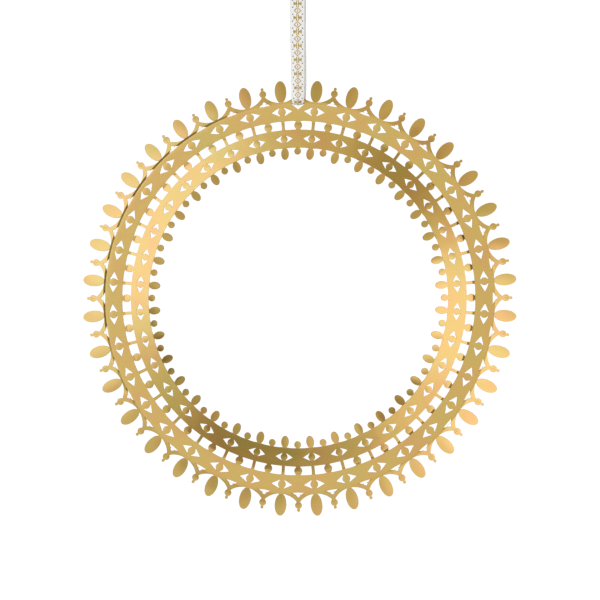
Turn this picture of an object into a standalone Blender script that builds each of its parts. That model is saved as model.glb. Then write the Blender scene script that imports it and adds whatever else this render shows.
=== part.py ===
"""A brass wreath, one etched and folded ring, hung in a loop of satin ribbon.

Metres, +Z up, the front towards -Y. The origin is the underside of the ribbon's crown,
where the loop bears on its hook. The ring is a row of like petals: half a petal's flat
blank is drawn and triangulated, mirrored and turned round the ring, folded and thickened.
"""

import math

import bmesh
import bpy
from mathutils import Matrix, Vector
from mathutils.geometry import area_tri, delaunay_2d_cdt

MM = 0.001
CLEAR = 0.3 * MM  # between solids that touch on the real object
SLIVER = 0.001 * MM**2  # a triangle of less area joins points of one straight line

# Ring: radii from its centre and widths in the flat blank
PETALS = 36
RING_R = 150.0 * MM  # to the tips of the outer ovals
PLATE_THICK = 0.6 * MM
OVAL_HEIGHT = 15.2 * MM
OVAL_HALF_WIDTH = 4.0 * MM
OVAL_BELLY = 7.2 * MM  # from the tip to the widest place
OVAL_FOOT = 1.2 * MM  # half the foot's width
OUTER_BAND = 13.1 * MM  # from the scallops' lowest points to the gap
GAP = 6.0 * MM  # between the two bands
INNER_BAND = 12.5 * MM
SCALLOP_STRIP = 2.75 * MM
TRIANGLE_DROP = 1.3 * MM  # the triangle's base below the scallops' lowest points
FINIAL_NECK = 1.1 * MM
FINIAL_BEAD_R = 2.36 * MM
FINIAL_BEAD_RISE = 7.6 * MM  # above the scallops' lowest points
FINIAL_STEM = 0.7 * MM  # half the stem's width, between the bead and the ball
FINIAL_BALL_R = 1.02 * MM
FINIAL_BALL_RISE = 3.42 * MM  # above the bead's centre
OUTER_DIAMOND = (7.2 * MM, 3.0 * MM, 1.38 * MM, 2.7 * MM)  # half length, barb up, barb in, bead
INNER_DIAMOND = (6.0 * MM, 2.67 * MM, 1.25 * MM, 2.4 * MM)
BAR_HALF = 1.05 * MM
GAP_BEAD_R = 2.65 * MM
GAP_BEAD_NECK = 1.5 * MM
INNER_OVAL_HALF_WIDTH = 2.65 * MM
INNER_OVAL_LENGTH = 8.2 * MM
INNER_OVAL_FOOT = 1.0 * MM
INNER_BEAD_R = 2.3 * MM
INNER_BEAD_REACH = 4.85 * MM  # its lowest point inside the inner band's edge
INNER_BEAD_NECK = 1.1 * MM

# Hanging hole, a triangle that points inwards, and the low crest over it
HOLE_HALF_WIDTH = 4.3 * MM
HOLE_DEPTH = 3.9 * MM
CREST_RISE = 3.2 * MM  # above the scallops' lowest points

# Folds: the outer band is flat and stands proud, with a narrow facet down from each edge
FACET_WIDTH = 1.5 * MM
FACET_DROP = 1.1 * MM
PETAL_LEAN = math.radians(14.0)  # the outer petals, backwards
INNER_LEAN = math.radians(11.6)  # the inner band, forwards, to balance the outer petals
INNER_PETAL_LEAN = math.radians(24.0)  # the inner petals, forwards

# Ribbon loop
RIBBON_WIDTH = 10.0 * MM
RIBBON_THICK = 0.4 * MM
HOOK_SPACE = 8.0 * MM  # between the legs, just under the crown
DROP = 214.5 * MM  # from the hook to the ring's centre
TILT_LIMIT = math.radians(18.0)  # how far the ring rocks before its crest meets a leg
SPLIT_RISE = 3.0 * MM  # the loop's upper stretch starts this far above the ring
LAP_LENGTH = 12.0 * MM
LAP_START = 6.5 * MM  # the lap's top end below the crown
TACK_HEIGHT = 1.6 * MM
TACK_THICK = 0.5 * MM
TACK_INSET = 1.0 * MM  # from the ribbon's side edges
TACK_FROM_END = 2.4 * MM

# Places that follow from the sizes
HALF_PITCH = math.pi / PETALS
VALLEY_R = RING_R - OVAL_HEIGHT
BAND_IN_R = VALLEY_R - OUTER_BAND
INNER_OUT_R = BAND_IN_R - GAP
INNER_IN_R = INNER_OUT_R - INNER_BAND
BASE_R = VALLEY_R - TRIANGLE_DROP
OUTER_FOLD_R = BASE_R + FACET_WIDTH
INNER_FOLD_R = BAND_IN_R - FACET_WIDTH
HOLE_TOP_R = BASE_R
CREST_R = VALLEY_R + CREST_RISE
CENTRE_Z = -DROP
HOLE_TOP_Z = CENTRE_Z + HOLE_TOP_R

GOLD = ("gold_plated_brass", (0.76, 0.54, 0.22), 1.0, 0.25)
SATIN = ("white_satin", (0.86, 0.85, 0.87), 0.0, 0.45)
THREAD = ("white_thread", (0.80, 0.78, 0.76), 0.0, 0.7)


def material(kind):
    """The Principled material of a finish: name, colour, metallic, roughness."""
    name, colour, metallic, roughness = kind
    found = bpy.data.materials.get(name)
    if found:
        return found
    made = bpy.data.materials.new(name)
    made.use_nodes = True
    shader = made.node_tree.nodes["Principled BSDF"]
    shader.inputs["Base Color"].default_value = (*colour, 1.0)
    shader.inputs["Metallic"].default_value = metallic
    shader.inputs["Roughness"].default_value = roughness
    made.diffuse_color = (*colour, 1.0)
    return made


def add_object(name, mesh, kind, collection):
    """Puts a mesh in the collection under a name, in its finish."""
    mesh.materials.append(material(kind))
    made = bpy.data.objects.new(name, mesh)
    collection.objects.link(made)
    return made


def thicken(piece, thickness):
    """Makes an open sheet a solid, half its thickness to each side."""
    shell = piece.modifiers.new("thickness", "SOLIDIFY")
    shell.thickness = thickness
    shell.offset = 0.0


def beside_oval(across, up):
    """A point of the blank, given across and along the axis of the oval beside the peak."""
    c, s = math.cos(HALF_PITCH), math.sin(HALF_PITCH)
    return (across * c + up * s, up * c - across * s)


def scallop():
    """The scallop's arc: its centre in the blank, its radius, and its centre's radius.

    It is lowest at the oval's foot, and it runs up to the finial's neck."""
    neck = Vector((FINIAL_NECK, VALLEY_R + FINIAL_BEAD_RISE - FINIAL_BEAD_R))
    axis = Vector((math.sin(HALF_PITCH), math.cos(HALF_PITCH)))
    along = neck.dot(axis)
    reach = neck.length_squared - 2 * VALLEY_R * along + VALLEY_R**2
    radius = reach / (2 * (along - VALLEY_R))
    return axis * (VALLEY_R + radius), radius, VALLEY_R + radius


def scallop_height(across, radius):
    """The height in the blank at which an arc about the scallop's centre is this far across."""
    centre = scallop()[0]
    return centre.y - math.sqrt(radius**2 - (centre.x - across) ** 2)


def scallop_across(height, radius):
    """How far across the blank an arc about the scallop's centre is at this height."""
    centre = scallop()[0]
    return centre.x - math.sqrt(radius**2 - (centre.y - height) ** 2)


def scallop_run(end):
    """Points of the scallop from the oval's foot towards a point near the peak."""
    centre, radius, centre_r = scallop()
    foot = Vector(beside_oval(-OVAL_FOOT, centre_r - math.sqrt(radius**2 - OVAL_FOOT**2)))
    first = math.atan2(foot.y - centre.y, foot.x - centre.x)
    last = math.atan2(end[1] - centre.y, end[0] - centre.x)
    turns = [first + (last - first) * k / 3 for k in range(3)]
    return [(centre.x + radius * math.cos(a), centre.y + radius * math.sin(a)) for a in turns]


def oval_side(centre_r, half_width, out, back, turns):
    """Points down the near side of an oval, out and back being its two half lengths."""
    points = []
    for turn in turns:
        a = math.radians(turn)
        reach = out if math.sin(a) > 0 else back
        points.append(beside_oval(half_width * math.cos(a), centre_r + reach * math.sin(a)))
    return points


def inner_edge():
    """The blank's inner edge, from the inner bead's lowest point to the inner oval's."""
    bead_r = INNER_IN_R - INNER_BEAD_REACH + INNER_BEAD_R
    half = INNER_OVAL_LENGTH / 2
    oval = oval_side(INNER_IN_R - half, INNER_OVAL_HALF_WIDTH, half, half, (155, 215, 270))
    return [
        (0.0, bead_r - INNER_BEAD_R),
        (INNER_BEAD_R, bead_r),
        (INNER_BEAD_NECK, INNER_IN_R),
        beside_oval(-INNER_OVAL_FOOT, INNER_IN_R),
        *oval,
    ]


def outer_edge():
    """The blank's outer edge, from the oval's tip to its foot."""
    back = OVAL_HEIGHT - OVAL_BELLY
    return oval_side(RING_R - OVAL_BELLY, OVAL_HALF_WIDTH, OVAL_BELLY, back, (90, 132, 180, 226))


def finial_peak():
    """From the scallop to the peak's axis, over the finial and down to the triangle's base."""
    radius = scallop()[1]
    bead_r = VALLEY_R + FINIAL_BEAD_RISE
    ball_r = bead_r + FINIAL_BALL_RISE
    neck = (FINIAL_NECK, bead_r - FINIAL_BEAD_R)
    side = radius + SCALLOP_STRIP
    return scallop_run(neck) + [
        neck,
        (FINIAL_BEAD_R, bead_r),
        (FINIAL_STEM, bead_r + math.sqrt(FINIAL_BEAD_R**2 - FINIAL_STEM**2)),
        (FINIAL_BALL_R, ball_r),
        (0.0, ball_r + FINIAL_BALL_R),
        (0.0, scallop_height(0.0, side)),
        (scallop_across(BASE_R, side), BASE_R),
        (0.0, BASE_R),
    ]


def hanging_peak():
    """From the scallop to the peak's axis, over the low crest and round the hanging hole."""
    crest = (scallop_across(CREST_R, scallop()[1]), CREST_R)
    return scallop_run(crest) + [
        crest,
        (0.0, CREST_R),
        (0.0, HOLE_TOP_R),
        (HOLE_HALF_WIDTH, HOLE_TOP_R),
        (0.0, HOLE_TOP_R - HOLE_DEPTH),
    ]


def arrowhead(centre_r, diamond):
    """The near half of a pierced diamond, which a bead on the oval's axis splits."""
    half_length, barb_up, barb_in, bead_r = diamond
    return [
        beside_oval(-half_length, centre_r),
        beside_oval(-barb_in, centre_r - barb_up),
        beside_oval(-bead_r, centre_r),
        beside_oval(-barb_in, centre_r + barb_up),
    ]


def window():
    """The opening between the two bands, from the gap's bead to the bar."""
    return [
        (GAP_BEAD_NECK, BAND_IN_R),
        (GAP_BEAD_NECK, INNER_FOLD_R),
        (GAP_BEAD_R, (BAND_IN_R + INNER_OUT_R) / 2),
        (GAP_BEAD_NECK, INNER_OUT_R),
        beside_oval(-BAR_HALF, INNER_OUT_R),
        beside_oval(-BAR_HALF, INNER_FOLD_R),
        beside_oval(-BAR_HALF, BAND_IN_R),
    ]


def half_petal(peak):
    """Half a petal's blank as 2D points and triangles, with the folds as edges."""
    corner = max(x for x, y in peak if y == BASE_R)
    folds = [
        [(0.0, INNER_IN_R), (INNER_BEAD_NECK, INNER_IN_R)],
        [(0.0, INNER_FOLD_R), (GAP_BEAD_NECK, INNER_FOLD_R)],
        [(0.0, BAND_IN_R), (GAP_BEAD_NECK, BAND_IN_R)],
        [beside_oval(-INNER_OVAL_FOOT, INNER_IN_R), beside_oval(0.0, INNER_IN_R)],
        [beside_oval(-BAR_HALF, INNER_FOLD_R), beside_oval(0.0, INNER_FOLD_R)],
        [beside_oval(-BAR_HALF, BAND_IN_R), beside_oval(0.0, BAND_IN_R)],
        [(corner, BASE_R), beside_oval(0.0, BASE_R)],
        [scallop_run((0.0, CREST_R))[0], beside_oval(0.0, OUTER_FOLD_R)],
    ]
    bar_folds = (INNER_IN_R, INNER_FOLD_R, BAND_IN_R, BASE_R, OUTER_FOLD_R)
    up_bar = [beside_oval(0.0, r) for r in bar_folds]
    down_bead = [(0.0, BAND_IN_R), (0.0, INNER_FOLD_R), (0.0, INNER_IN_R)]
    outlines = [
        inner_edge() + up_bar + outer_edge() + peak + down_bead,
        arrowhead((VALLEY_R + BAND_IN_R) / 2, OUTER_DIAMOND),
        arrowhead((INNER_OUT_R + INNER_IN_R) / 2, INNER_DIAMOND),
        window(),
    ]
    points, edges = [], []
    for outline in outlines:
        first = len(points)
        points += [Vector(p) for p in outline]
        edges += [(first + k, first + (k + 1) % len(outline)) for k in range(len(outline))]
    for fold in folds:
        edges.append((len(points), len(points) + 1))
        points += [Vector(p) for p in fold]
    places, _, faces, *_ = delaunay_2d_cdt(points, edges, [], 0, 1e-7)
    return places, [f for f in faces if on_blank([places[i] for i in f], outlines)]


def on_blank(corners, outlines):
    """Whether a triangle's middle is inside the outer outline and outside every opening."""
    if area_tri(*corners) < SLIVER:
        return False
    middle = sum(corners, Vector((0.0, 0.0))) / len(corners)
    crossings = 0
    for outline in outlines:
        for (x0, y0), (x1, y1) in zip(outline, outline[1:] + outline[:1], strict=True):
            if (y0 > middle.y) != (y1 > middle.y):
                crossings += middle.x < x0 + (middle.y - y0) * (x1 - x0) / (y1 - y0)
    return crossings % 2 == 1


def forward(r):
    """How far the folded sheet stands in front of the outer band at a radius."""
    off_band = max(r - BASE_R, BAND_IN_R - r, 0.0)
    drop = min(off_band / FACET_WIDTH, 1.0) * FACET_DROP
    petal = max(r - OUTER_FOLD_R, 0.0) * math.tan(PETAL_LEAN)
    band = max(INNER_FOLD_R - max(r, INNER_IN_R), 0.0) * math.tan(INNER_LEAN)
    inner_petal = max(INNER_IN_R - r, 0.0) * math.tan(INNER_PETAL_LEAN)
    return band + inner_petal - petal - drop


def wreath_plate(collection):
    """The ring: half petals turned and mirrored round the centre, then folded."""
    sheet = bmesh.new()
    plain, hanging = half_petal(finial_peak()), half_petal(hanging_peak())
    for k in range(PETALS):
        turn = Matrix.Rotation(2 * HALF_PITCH * k, 3, "Y")
        places, faces = plain if k else hanging
        for side in (1, -1):
            corners = [sheet.verts.new(turn @ Vector((side * p.x, 0.0, p.y))) for p in places]
            for face in faces:
                sheet.faces.new([corners[i] for i in face[::side]])
    bmesh.ops.remove_doubles(sheet, verts=sheet.verts[:], dist=1e-6)
    loose = [v for v in sheet.verts if not v.link_faces]
    bmesh.ops.delete(sheet, geom=loose, context="VERTS")
    for corner in sheet.verts:
        corner.co.y = -forward(math.hypot(corner.co.x, corner.co.z))
        corner.co.z += CENTRE_Z
    mesh = bpy.data.meshes.new("wreath_plate")
    sheet.to_mesh(mesh)
    sheet.free()
    thicken(add_object("wreath_plate", mesh, GOLD, collection), PLATE_THICK)


def half_turn(centre_z, radius, first, last, steps):
    """Points (y, z) on an arc about a height on the loop's middle plane, by angles in degrees."""
    turns = [math.radians(first + (last - first) * k / steps) for k in range(steps + 1)]
    return [(radius * math.cos(a), centre_z + radius * math.sin(a)) for a in turns]


def strip(name, stations, collection):
    """A stretch of ribbon through stations (y, z, half width), front to back."""
    sheet = bmesh.new()
    rows = [[sheet.verts.new((x, y, z)) for x in (-half, half)] for y, z, half in stations]
    for (a, b), (c, d) in zip(rows, rows[1:], strict=False):
        sheet.faces.new((a, b, d, c))
    mesh = bpy.data.meshes.new(name)
    sheet.to_mesh(mesh)
    sheet.free()
    thicken(add_object(name, mesh, SATIN, collection), RIBBON_THICK)


def bight_radius():
    """The radius of the ribbon's turn under the crest, wide enough for the ring to rock in."""
    reach = abs(forward(CREST_R)) + PLATE_THICK / 2 + CLEAR
    height = CREST_R - HOLE_TOP_R
    swept = reach * math.cos(TILT_LIMIT) + height * math.sin(TILT_LIMIT)
    return swept + CLEAR + RIBBON_THICK / 2


def leg_y(z, crown, bight):
    """How far a leg's middle is from the loop's middle plane at a height."""
    (crown_y, crown_z), (bight_y, bight_z) = crown, bight
    return bight_y + (crown_y - bight_y) * (z - bight_z) / (crown_z - bight_z)


def ribbon(collection):
    """The ribbon loop in three stretches: front and crown, back leg, and bight."""
    half = RIBBON_WIDTH / 2
    crown_r = (HOOK_SPACE + RIBBON_THICK) / 2
    crown_z = -HOOK_SPACE / 2
    bight_r = bight_radius()
    bight_z = HOLE_TOP_Z - CLEAR + bight_r - RIBBON_THICK / 2
    crown, bight = (crown_r, crown_z), (bight_r, bight_z)
    split_z = CENTRE_Z + RING_R + SPLIT_RISE
    low, high = split_z - CLEAR / 2, split_z + CLEAR / 2

    # The front leg runs up, over the hook and down to the lap's inner end.
    lap_top = crown_z - LAP_START
    lap_end = lap_top - LAP_LENGTH
    over = half_turn(crown_z, crown_r, 180, 0, 10)
    front = [(-leg_y(high, crown, bight), high), *over, (leg_y(lap_end, crown, bight), lap_end)]
    strip("ribbon_front_and_crown", [(y, z, half) for y, z in front], collection)

    # The back leg ends outside it, one thickness and a clearance further back.
    step = RIBBON_THICK + CLEAR
    out_low, out_high = lap_end - 3 * step, lap_end - step
    back = [
        (leg_y(high, crown, bight), high),
        (leg_y(out_low, crown, bight), out_low),
        (leg_y(out_high, crown, bight) + step, out_high),
        (leg_y(lap_top, crown, bight) + step, lap_top),
    ]
    strip("ribbon_back_leg", [(y, z, half) for y, z in back], collection)

    # The bight narrows to pass through the hole, whose sides slope in below its top edge.
    deepest = HOLE_TOP_R - CLEAR - RIBBON_THICK
    slope = HOLE_HALF_WIDTH / HOLE_DEPTH
    beside = CLEAR * math.hypot(1.0, slope)
    narrow = (deepest - HOLE_TOP_R + HOLE_DEPTH) * slope - beside
    under = half_turn(bight_z, bight_r, 180, 360, 10)
    stations = [(-leg_y(low, crown, bight), low, half)]
    for y, z in under:
        share = (z - bight_z) / bight_r + 1
        stations.append((y, z, narrow + (half - narrow) * share * share * 0.5))
    stations.append((leg_y(low, crown, bight), low, half))
    strip("ribbon_bight", stations, collection)

    # Two bar tacks hold the lap.
    face = leg_y(lap_top, crown, bight) + step + RIBBON_THICK / 2 + CLEAR + TACK_THICK / 2
    for name, z in (("lap_tack_upper", lap_top - TACK_FROM_END),
                    ("lap_tack_lower", lap_end + step + TACK_FROM_END)):
        bar_tack(name, face, z, collection)


def bar_tack(name, y, z, collection):
    """A close row of thread sewn across the lap."""
    bar = bmesh.new()
    bmesh.ops.create_cube(bar, size=1.0)
    size = Vector((RIBBON_WIDTH - 2 * TACK_INSET, TACK_THICK, TACK_HEIGHT))
    bmesh.ops.scale(bar, vec=size, verts=bar.verts[:])
    mesh = bpy.data.meshes.new(name)
    bar.to_mesh(mesh)
    bar.free()
    add_object(name, mesh, THREAD, collection).location = (0.0, y, z)


def build():
    """Clears the scene and makes every piece."""
    for old in list(bpy.data.objects):
        bpy.data.objects.remove(old, do_unlink=True)
    collection = bpy.data.collections.new("hanging_wreath")
    bpy.context.scene.collection.children.link(collection)
    wreath_plate(collection)
    ribbon(collection)


build()
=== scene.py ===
"""Looks for a brass wreath on a ribbon loop, laid out as a Blender add-on and run as a script."""

import math

import bmesh
import bpy
from bpy.props import FloatProperty, FloatVectorProperty, IntProperty, PointerProperty
from mathutils import Euler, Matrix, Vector
from mathutils.geometry import area_tri, delaunay_2d_cdt


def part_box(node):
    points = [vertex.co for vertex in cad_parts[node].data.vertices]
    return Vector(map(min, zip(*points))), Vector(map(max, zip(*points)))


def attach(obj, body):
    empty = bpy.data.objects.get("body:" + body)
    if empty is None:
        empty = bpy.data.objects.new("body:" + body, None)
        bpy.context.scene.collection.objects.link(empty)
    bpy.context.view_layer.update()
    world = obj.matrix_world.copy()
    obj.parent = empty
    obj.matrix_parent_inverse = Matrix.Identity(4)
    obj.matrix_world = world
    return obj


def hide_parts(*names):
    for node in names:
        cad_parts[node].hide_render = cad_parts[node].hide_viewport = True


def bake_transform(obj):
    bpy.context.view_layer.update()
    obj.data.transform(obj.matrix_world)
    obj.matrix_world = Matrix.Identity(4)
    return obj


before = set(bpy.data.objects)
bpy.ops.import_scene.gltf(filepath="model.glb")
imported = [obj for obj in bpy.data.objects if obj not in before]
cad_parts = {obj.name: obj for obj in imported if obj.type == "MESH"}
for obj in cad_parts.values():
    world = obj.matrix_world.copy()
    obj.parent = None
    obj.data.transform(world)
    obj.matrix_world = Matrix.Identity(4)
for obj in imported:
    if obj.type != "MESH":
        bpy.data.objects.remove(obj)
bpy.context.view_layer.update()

bl_info = {
    "name": "Hanging brass wreath",
    "version": (1, 0, 0),
    "blender": (4, 5, 0),
    "location": "View3D > Sidebar > Wreath",
    "description": "Builds a folded brass wreath and its printed ribbon loop",
    "category": "Add Mesh",
}

MM = 0.001

# ---------------------------------------------------------------- helpers


def to_linear(hex_code):
    """An sRGB hex colour as linear RGB."""
    channels = [int(hex_code[k:k + 2], 16) / 255 for k in (0, 2, 4)]
    return tuple(c / 12.92 if c <= 0.04045 else ((c + 0.055) / 1.055) ** 2.4 for c in channels)


def colour_prop(name, description, hex_code):
    """A colour setting whose default is an sRGB hex colour."""
    return FloatVectorProperty(
        name=name, description=description, default=to_linear(hex_code),
        subtype="COLOR", size=3, min=0.0, max=1.0)


def length_prop(name, description, millimetres):
    """A length setting, given in millimetres and kept in metres."""
    return FloatProperty(
        name=name, description=description, default=millimetres * MM,
        unit="LENGTH", precision=5)


def angle_prop(name, description, degrees):
    """An angle setting, given in degrees and kept in radians."""
    return FloatProperty(
        name=name, description=description, default=math.radians(degrees), unit="ROTATION")


def cells(size):
    """A pattern's scale, in cells to the metre, from a cell's real size in millimetres."""
    return 1 / (size * MM)


def add_node(tree, kind, settings=None, **links):
    """Adds a node, sets its properties and sockets, and links its sockets by name or number.

    A key in settings that names a property sets it; any other key is an input's name or number.
    A link key is an input's name with spaces as underscores, or in_0, in_1 for its number."""
    node = tree.nodes.new(kind)
    for key, value in (settings or {}).items():
        if isinstance(key, str) and hasattr(node, key):
            setattr(node, key, value)
        else:
            node.inputs[key].default_value = value
    for key, source in links.items():
        name = int(key[3:]) if key.startswith("in_") else key.replace("_", " ")
        tree.links.new(source, node.inputs[name])
    return node


def set_stops(node, *stops):
    """Gives a colour ramp its stops, each a place and a colour."""
    stops_now = node.color_ramp.elements
    while len(stops_now) < len(stops):
        stops_now.new(1.0)
    for stop, (place, colour) in zip(stops_now, stops):
        stop.position = place
        stop.color = (*colour, 1)


def new_material(name, **constants):
    """A material with one Principled shader, its constants on the shader's own sockets."""
    made = bpy.data.materials.new(name)
    made.use_nodes = True
    tree = made.node_tree
    shader = tree.nodes["Principled BSDF"]
    for key, value in constants.items():
        shader.inputs[key.replace("_", " ")].default_value = value
    return made, tree, shader


def new_piece(name, mesh, body=None):
    """Puts a mesh in the scene as a piece, riding on a body if one is given."""
    piece = bpy.data.objects.new(name, mesh)
    bpy.context.scene.collection.objects.link(piece)
    if body:
        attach(piece, body)
    return piece


def mesh_from(name, points, faces):
    """A mesh from lists of points and faces."""
    mesh = bpy.data.meshes.new(name)
    mesh.from_pydata([tuple(p) for p in points], [], faces)
    mesh.update()
    return mesh


def settings():
    """The wreath's settings on the scene."""
    return bpy.context.scene.wreath_sizes, bpy.context.scene.wreath_colours


# ---------------------------------------------------------------- settings


class WreathSizes(bpy.types.PropertyGroup):
    """The sizes of the wreath and its ribbon."""

    petals: IntProperty(name="Petals", description="Outer ovals round the ring", default=36, min=8)
    ring_r: length_prop("Ring radius", "Centre to the tips of the outer ovals", 150.0)
    sheet: length_prop("Sheet", "Thickness of the brass", 0.6)
    oval_height: length_prop("Oval height", "Outer oval, tip to foot", 15.2)
    oval_half: length_prop("Oval half width", "Outer oval", 4.0)
    oval_belly: length_prop("Oval belly", "Tip to the widest place", 7.2)
    oval_foot: length_prop("Oval foot", "Half the foot's width", 1.2)
    outer_band: length_prop("Outer band", "Scallops' lowest points to the gap", 13.1)
    gap: length_prop("Gap", "Between the two bands", 6.0)
    inner_band: length_prop("Inner band", "Radial width", 12.5)
    strip: length_prop("Scallop strip", "Width of the strip round a triangle", 2.75)
    triangle_drop: length_prop("Triangle drop", "Its base below the scallops", 1.3)
    neck: length_prop("Finial neck", "Half width", 1.1)
    finial_bead: length_prop("Finial bead", "Radius", 2.36)
    finial_rise: length_prop("Finial rise", "Bead's centre above the scallops", 7.6)
    finial_stem: length_prop("Finial stem", "Half width, bead to ball", 0.7)
    finial_ball: length_prop("Finial ball", "Radius", 1.02)
    ball_rise: length_prop("Ball rise", "Above the bead's centre", 3.42)
    bar_half: length_prop("Bar half width", "Bars between the bands", 1.05)
    gap_bead: length_prop("Gap bead", "Radius", 2.72)
    gap_bead_neck: length_prop("Gap bead neck", "Half width", 1.5)
    inner_oval_half: length_prop("Inner oval half width", "Inner oval", 2.65)
    inner_oval_length: length_prop("Inner oval length", "Inner oval", 8.2)
    inner_oval_foot: length_prop("Inner oval foot", "Half the foot's width", 1.1)
    inner_bead: length_prop("Inner bead", "Radius", 2.33)
    inner_bead_reach: length_prop("Inner bead reach", "Inside the inner band's edge", 4.85)
    inner_bead_neck: length_prop("Inner bead neck", "Half width", 1.2)
    outer_arrow: length_prop("Outer arrowhead", "Half length of the pierced diamond", 7.2)
    outer_barb: length_prop("Outer barb", "Height of its barbs", 3.0)
    outer_barb_in: length_prop("Outer barb place", "From the diamond's middle", 1.38)
    outer_disc: length_prop("Outer band bead", "Radius", 2.7)
    inner_arrow: length_prop("Inner arrowhead", "Half length of the pierced diamond", 6.0)
    inner_barb: length_prop("Inner barb", "Height of its barbs", 2.67)
    inner_barb_in: length_prop("Inner barb place", "From the diamond's middle", 1.25)
    inner_disc: length_prop("Inner band bead", "Radius", 2.4)
    hole_half: length_prop("Hanging hole", "Half width", 4.3)
    hole_depth: length_prop("Hanging hole depth", "Top edge to point", 3.9)
    crest_rise: length_prop("Crest rise", "Over the hanging hole", 3.2)
    facet_width: length_prop("Facet width", "Beside the outer band", 1.5)
    facet_drop: length_prop("Facet drop", "Beside the outer band", 1.25)
    petal_lean: angle_prop("Petal lean", "Outer petals, backwards", 14.0)
    inner_lean: angle_prop("Inner lean", "Inner band, forwards", 11.6)
    inner_petal_lean: angle_prop("Inner petal lean", "Inner petals, forwards", 24.0)
    bead_crown: length_prop("Bead crown", "Height of a pressed bead", 0.05)
    oval_crown: length_prop("Oval crown", "Height of a pressed oval", 0.07)
    edge: length_prop("Edge", "Width of the etched edge's bevel", 0.09)
    ribbon: length_prop("Ribbon width", "Standard satin ribbon", 10.0)
    ribbon_sheet: length_prop("Ribbon thickness", "Double-faced satin", 0.34)
    gathered: length_prop("Gathered ribbon", "Half width just over the bight", 4.2)
    bight_half: length_prop("Bight", "Half width of the ribbon in the hanging hole", 3.3)
    gather_front: length_prop("Front gather", "How far up the front leg is gathered", 46.0)
    gather_back: length_prop("Back gather", "How far up the back leg is gathered", 7.0)
    repeat: length_prop("Print repeat", "From cross to cross", 9.65)
    cross_height: length_prop("Cross height", "Where one cross of the front leg is", -70.4)
    bow: length_prop("Ribbon bow", "How far its middle stands proud of its edges", 0.34)
    hook: length_prop("Hook space", "Between the legs under the crown", 8.0)


class WreathColours(bpy.types.PropertyGroup):
    """The colours of the wreath and its ribbon."""

    gold: colour_prop("Gold", "Gold plate", "F0CE7C")
    gold_warm: colour_prop("Warm gold", "Gold plate where it turns rosy", "F2C67E")
    # Etched edge: the sheet's matt etched side, darkened as painted shade on the sides of the
    # sheet.
    gold_green: colour_prop("Green gold", "Gold plate where it turns greenish", "E8D07C")
    etched_edge_with_shade: colour_prop("Etched edge", "Etched side of the sheet", "A07C3C")
    satin: colour_prop("Satin", "Ribbon", "F7F6F3")
    satin_shade: colour_prop("Satin shade", "Ribbon between its threads", "E6E5E2")
    # Painted shade: a grey-green line along both of the ribbon's edges.
    painted_edge_shade: colour_prop("Edge shade", "Along the ribbon's edges", "CFD3CB")
    foil: colour_prop("Foil", "Gold print", "D8C07E")
    foil_dark: colour_prop("Worn foil", "Gold print where it is thin", "93803E")
    dot: colour_prop("Dots", "Small print at the ribbon's edges", "8E9484")
    dot_dark: colour_prop("Dots' middles", "Small print where it is thick", "6C7362")
    thread: colour_prop("Thread", "Bar tacks", "ECEAE8")
    floor: colour_prop("Floor", "Studio floor", "F4F3F1")
    warm_room: colour_prop("Warm room", "What the gold reflects from the right", "FFF9F0")
    cool_room: colour_prop("Cool room", "What the gold reflects from the lower left", "FFFFFF")


# ---------------------------------------------------------------- materials


def gold_plated_etched_brass(name, colours, roughness):
    """Thin gold plate on rolled brass sheet: a soft mirror, warm, a little rosy or greenish in
    places where the plate is thinner, and slightly wavy from rolling, so reflections flow."""
    made, tree, shader = new_material(name, Metallic=1.0, Roughness=roughness)
    place = add_node(tree, "ShaderNodeTexCoord").outputs["Object"]
    # Patches of plate thickness.
    patches = add_node(tree, "ShaderNodeTexNoise",
                       {"Scale": cells(23.8), "Detail": 2.0, "Roughness": 0.55}, Vector=place)
    tint = add_node(tree, "ShaderNodeValToRGB", in_0=patches.outputs["Fac"])
    set_stops(tint, (0.30, colours.gold_green), (0.5, colours.gold), (0.70, colours.gold_warm))
    tree.links.new(tint.outputs["Color"], shader.inputs["Base Color"])
    # Long waves from rolling, and the plate's fine grain.
    waves = add_node(tree, "ShaderNodeTexNoise",
                     {"Scale": cells(11.76), "Detail": 1.0, "Roughness": 0.4}, Vector=place)
    grain = add_node(tree, "ShaderNodeTexNoise",
                     {"Scale": cells(0.3125), "Detail": 2.0, "Roughness": 0.6}, Vector=place)
    rolled = add_node(tree, "ShaderNodeBump", {"Strength": 0.5, "Distance": 0.16 * MM},
                      Height=waves.outputs["Fac"])
    fine = add_node(tree, "ShaderNodeBump", {"Strength": 0.05, "Distance": 0.01 * MM},
                    Height=grain.outputs["Fac"], Normal=rolled.outputs["Normal"])
    tree.links.new(fine.outputs["Normal"], shader.inputs["Normal"])
    return made


def etched_brass_edge_and_shade(colours):
    """The side of the sheet where acid cut it: matt and fine-pitted, with its colour darkened as
    painted shade, so it reads as a thin darker line round every opening."""
    made, tree, shader = new_material("etched_brass_edge_and_shade", Metallic=1.0, Roughness=0.42)
    place = add_node(tree, "ShaderNodeTexCoord").outputs["Object"]
    # Etch pits.
    pits = add_node(tree, "ShaderNodeTexNoise",
                    {"Scale": cells(0.1538), "Detail": 3.0, "Roughness": 0.7}, Vector=place)
    tone = add_node(tree, "ShaderNodeValToRGB", in_0=pits.outputs["Fac"])
    # The edge's colour is set well below the plate's as painted shade, with darker etch pits in it.
    set_stops(tone, (0.3, [c * 0.7 for c in colours.etched_edge_with_shade]), (0.7, colours.etched_edge_with_shade))
    tree.links.new(tone.outputs["Color"], shader.inputs["Base Color"])
    pitted = add_node(tree, "ShaderNodeBump", {"Strength": 0.5, "Distance": 0.03 * MM},
                      Height=pits.outputs["Fac"])
    tree.links.new(pitted.outputs["Normal"], shader.inputs["Normal"])
    return made


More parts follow.
